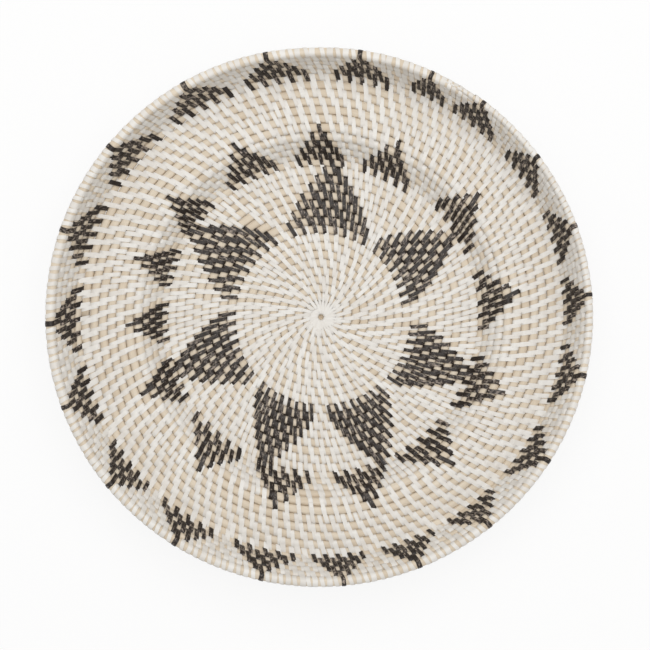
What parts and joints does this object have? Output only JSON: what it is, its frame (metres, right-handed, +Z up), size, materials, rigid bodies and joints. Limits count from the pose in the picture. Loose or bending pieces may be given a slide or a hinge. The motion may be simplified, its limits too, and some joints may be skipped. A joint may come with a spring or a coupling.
{
  "type": "winnowing basket",
  "caption": "Round coiled winnowing basket shaped like a wide shallow plate, with a flat well, a step, a brim and a steep rim wall, lashed with pale and dyed strips in a petal pattern.",
  "frame": {"origin": "on the floor under the middle of the rim's outline", "axes": "+Z up out of the open side, +Y towards the top of the picture, +X to its right"},
  "size_m": [0.3938, 0.3928, 0.062],
  "materials": {
    "vine_rod": "peeled vine rod, matte, tan",
    "pale_strip": "split natural strip, smooth, satin",
    "dyed_strip": "split strip dyed black-brown, satin"
  },
  "bodies": {
    "root": {"brim_rod_1": "vine_rod", "brim_rod_2": "vine_rod", "brim_rod_3": "vine_rod", "centre_lashing": "pale_strip", "dart_lashing_1": "dyed_strip", "dart_lashing_2": "dyed_strip", "dart_lashing_3": "dyed_strip", "dart_lashing_4": "dyed_strip", "dart_lashing_5": "dyed_strip", "dart_lashing_6": "dyed_strip", "dart_lashing_7": "dyed_strip", "edge_whipping": "pale_strip", "petal_lashing_1": "dyed_strip", "petal_lashing_2": "dyed_strip", "petal_lashing_3": "dyed_strip", "petal_lashing_4": "dyed_strip", "petal_lashing_5": "dyed_strip", "petal_lashing_6": "dyed_strip", "petal_lashing_7": "dyed_strip", "rim_lashing_1": "dyed_strip", "rim_lashing_2": "dyed_strip", "rim_lashing_3": "dyed_strip", "rim_lashing_4": "dyed_strip", "rim_lashing_5": "dyed_strip", "rod_tip": "vine_rod", "step_rod_1": "vine_rod", "step_rod_10": "vine_rod", "step_rod_11": "vine_rod", "step_rod_2": "vine_rod", "step_rod_3": "vine_rod", "step_rod_4": "vine_rod", "step_rod_5": "vine_rod", "step_rod_6": "vine_rod", "step_rod_7": "vine_rod", "step_rod_8": "vine_rod", "step_rod_9": "vine_rod", "wall_rod_1": "vine_rod", "wall_rod_10": "vine_rod", "wall_rod_11": "vine_rod", "wall_rod_12": "vine_rod", "wall_rod_13": "vine_rod", "wall_rod_14": "vine_rod", "wall_rod_2": "vine_rod", "wall_rod_3": "vine_rod", "wall_rod_4": "vine_rod", "wall_rod_5": "vine_rod", "wall_rod_6": "vine_rod", "wall_rod_7": "vine_rod", "wall_rod_8": "vine_rod", "wall_rod_9": "vine_rod", "well_rod_1": "vine_rod", "well_rod_2": "vine_rod", "well_rod_3": "vine_rod", "well_rod_4": "vine_rod", "well_rod_5": "vine_rod"}
  },
  "joints": []
}
